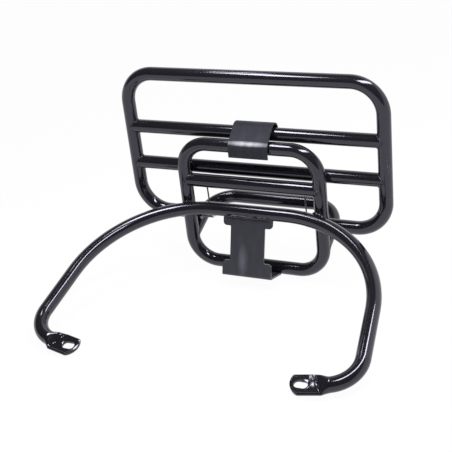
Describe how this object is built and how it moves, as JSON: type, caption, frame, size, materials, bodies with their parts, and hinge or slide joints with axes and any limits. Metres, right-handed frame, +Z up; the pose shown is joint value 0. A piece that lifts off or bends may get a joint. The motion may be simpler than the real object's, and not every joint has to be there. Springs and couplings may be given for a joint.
{
  "type": "folding motor scooter luggage rack",
  "caption": "Gloss black round tube luggage rack that folds down on hinge pins from a leaning loop, carried by a wide bent support arc with flattened, slotted ends.",
  "frame": {"origin": "midway between the two slot centres, on the underside of the flattened ends", "axes": "+Z up, square to the flattened ends and the support arc; +X to the rack's right seen from its slotted ends; +Y to the rear, towards the rack frame"},
  "size_m": [0.3832, 0.3173, 0.2312],
  "materials": {
    "black_tube": "gloss",
    "black_sheet": "satin",
    "spring_wire": "satin",
    "plated_steel": "satin"
  },
  "bodies": {
    "support": {"support_arc": "black_tube", "inner_loop": "black_tube", "inner_cross_tube": "black_tube", "rear_support_loop": "black_tube", "brace_plate": "black_sheet", "hinge_sleeve_left": "black_tube", "hinge_sleeve_right": "black_tube", "return_spring_left": "spring_wire", "return_spring_right": "spring_wire"},
    "rack": {"rack_frame": "black_tube", "rack_bar_upper": "black_tube", "rack_bar_lower": "black_tube", "hinge_pin_left": "plated_steel", "hinge_pin_right": "plated_steel", "retaining_ring_left": "plated_steel", "retaining_ring_right": "plated_steel", "spring_clip": "black_sheet"}
  },
  "joints": [
    {"name": "rack_fold", "type": "hinge", "parent": "support", "child": "rack", "pos_m": [0, 0.24318, -0.0272], "axis": [-1, 0, 0], "range_deg": [0, 78.5], "deforming": ["return_spring_left", "return_spring_right", "spring_clip"]}
  ]
}
